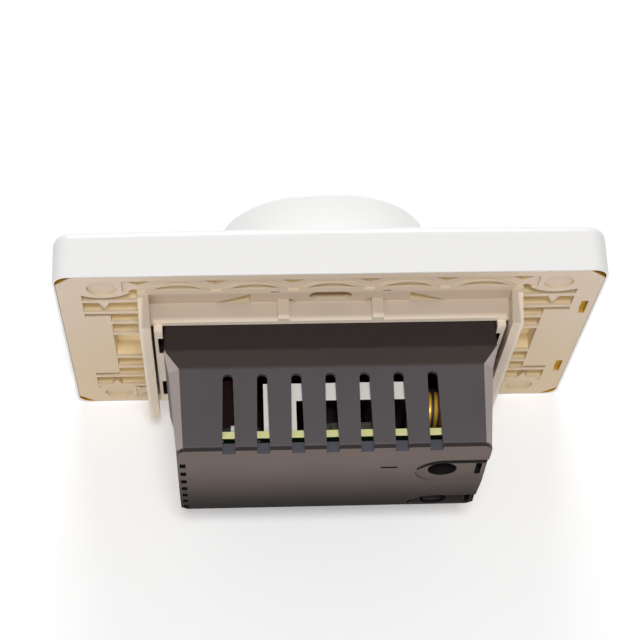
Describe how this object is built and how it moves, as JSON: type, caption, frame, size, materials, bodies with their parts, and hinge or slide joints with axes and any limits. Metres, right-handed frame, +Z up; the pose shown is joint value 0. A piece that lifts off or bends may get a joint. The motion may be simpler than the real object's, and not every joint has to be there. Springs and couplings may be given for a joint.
{
  "type": "led dimmer",
  "caption": "Rotary light dimmer for a wall box: rectangular face plate with a large round knob, and a vented rear housing with screw terminals.",
  "frame": {"origin": "centre of the wall plane, midway between the two fixing slots, where the plate's rim meets the wall", "axes": "+X along the plate's long side, +Z up the wall, +Y into the wall; the knob points along -Y"},
  "size_m": [0.118, 0.0599, 0.072],
  "materials": {
    "white_plastic": "glossy moulded white",
    "cream_plastic": "satin moulded cream",
    "dark_plastic": "satin moulded dark grey",
    "brown_plastic": "fine-grained brown grey",
    "board": "glass-fibre laminate with a pale yellow-green edge",
    "bright_steel": "nickel-plated",
    "brass": "bright, or enamelled copper wire on the choke",
    "white_nylon": "off-white moulded",
    "black_plastic": "black moulded",
    "ferrite": "sintered dark grey",
    "maroon_case": "dark red case",
    "blue_coating": "dipped blue coating",
    "fuse_glass": "clear tube",
    "resistor_coating": "beige lacquer",
    "aluminium": "bent sheet"
  },
  "bodies": {
    "dimmer": {"front_plate": "white_plastic", "mounting_frame": "cream_plastic", "housing_shell": "dark_plastic", "rear_cover": "brown_plastic", "circuit_board": "board", "potentiometer_body": "bright_steel", "potentiometer_washer": "bright_steel", "potentiometer_nut": "brass", "potentiometer_bracket": "white_nylon", "terminal_block": "black_plastic", "terminal_contacts": "brass", "choke_core": "ferrite", "choke_winding": "brass", "film_capacitor": "maroon_case", "snubber_capacitor": "white_nylon", "thermal_fuse": "white_nylon", "control_chip": "black_plastic", "electrolytic_capacitor": "black_plastic", "varistor": "blue_coating", "fuse_tube": "fuse_glass", "fuse_caps": "bright_steel", "fuse_clips": "brass", "resistors": "resistor_coating", "diodes": "black_plastic", "heat_sink": "aluminium", "triac": "black_plastic", "triac_screw": "bright_steel"},
    "knob": {"knob": "white_plastic", "knob_insert": "brass", "potentiometer_shaft": "bright_steel"},
    "clamp_screw_1": {"terminal_screw_1": "bright_steel"},
    "clamp_1": {"terminal_clamp_1": "brass"},
    "clamp_screw_2": {"terminal_screw_2": "bright_steel"},
    "clamp_2": {"terminal_clamp_2": "brass"}
  },
  "joints": [
    {"name": "knob_turn", "type": "hinge", "parent": "dimmer", "child": "knob", "pos_m": [0, 0, 0], "axis": [0, -1, 0], "range_deg": [-135, 135]},
    {"name": "terminal_clamp_1_lift", "type": "slide", "parent": "dimmer", "child": "clamp_1", "axis": [0, 1, 0], "range_m": [0, 0.0028]},
    {"name": "terminal_screw_1_turn", "type": "hinge", "parent": "dimmer", "child": "clamp_screw_1", "pos_m": [-0.024, 0, 0.0058], "axis": [0, -1, 0], "range_deg": [0, 1681]},
    {"name": "terminal_clamp_2_lift", "type": "slide", "parent": "dimmer", "child": "clamp_2", "axis": [0, 1, 0], "range_m": [0, 0.0028]},
    {"name": "terminal_screw_2_turn", "type": "hinge", "parent": "dimmer", "child": "clamp_screw_2", "pos_m": [-0.024, 0, -0.0154], "axis": [0, -1, 0], "range_deg": [0, 1681]}
  ],
  "couplings": [
    {"joint": "terminal_screw_1_turn", "follows": "terminal_clamp_1_lift", "rad_per_m": 10472},
    {"joint": "terminal_screw_2_turn", "follows": "terminal_clamp_2_lift", "rad_per_m": 10472}
  ]
}
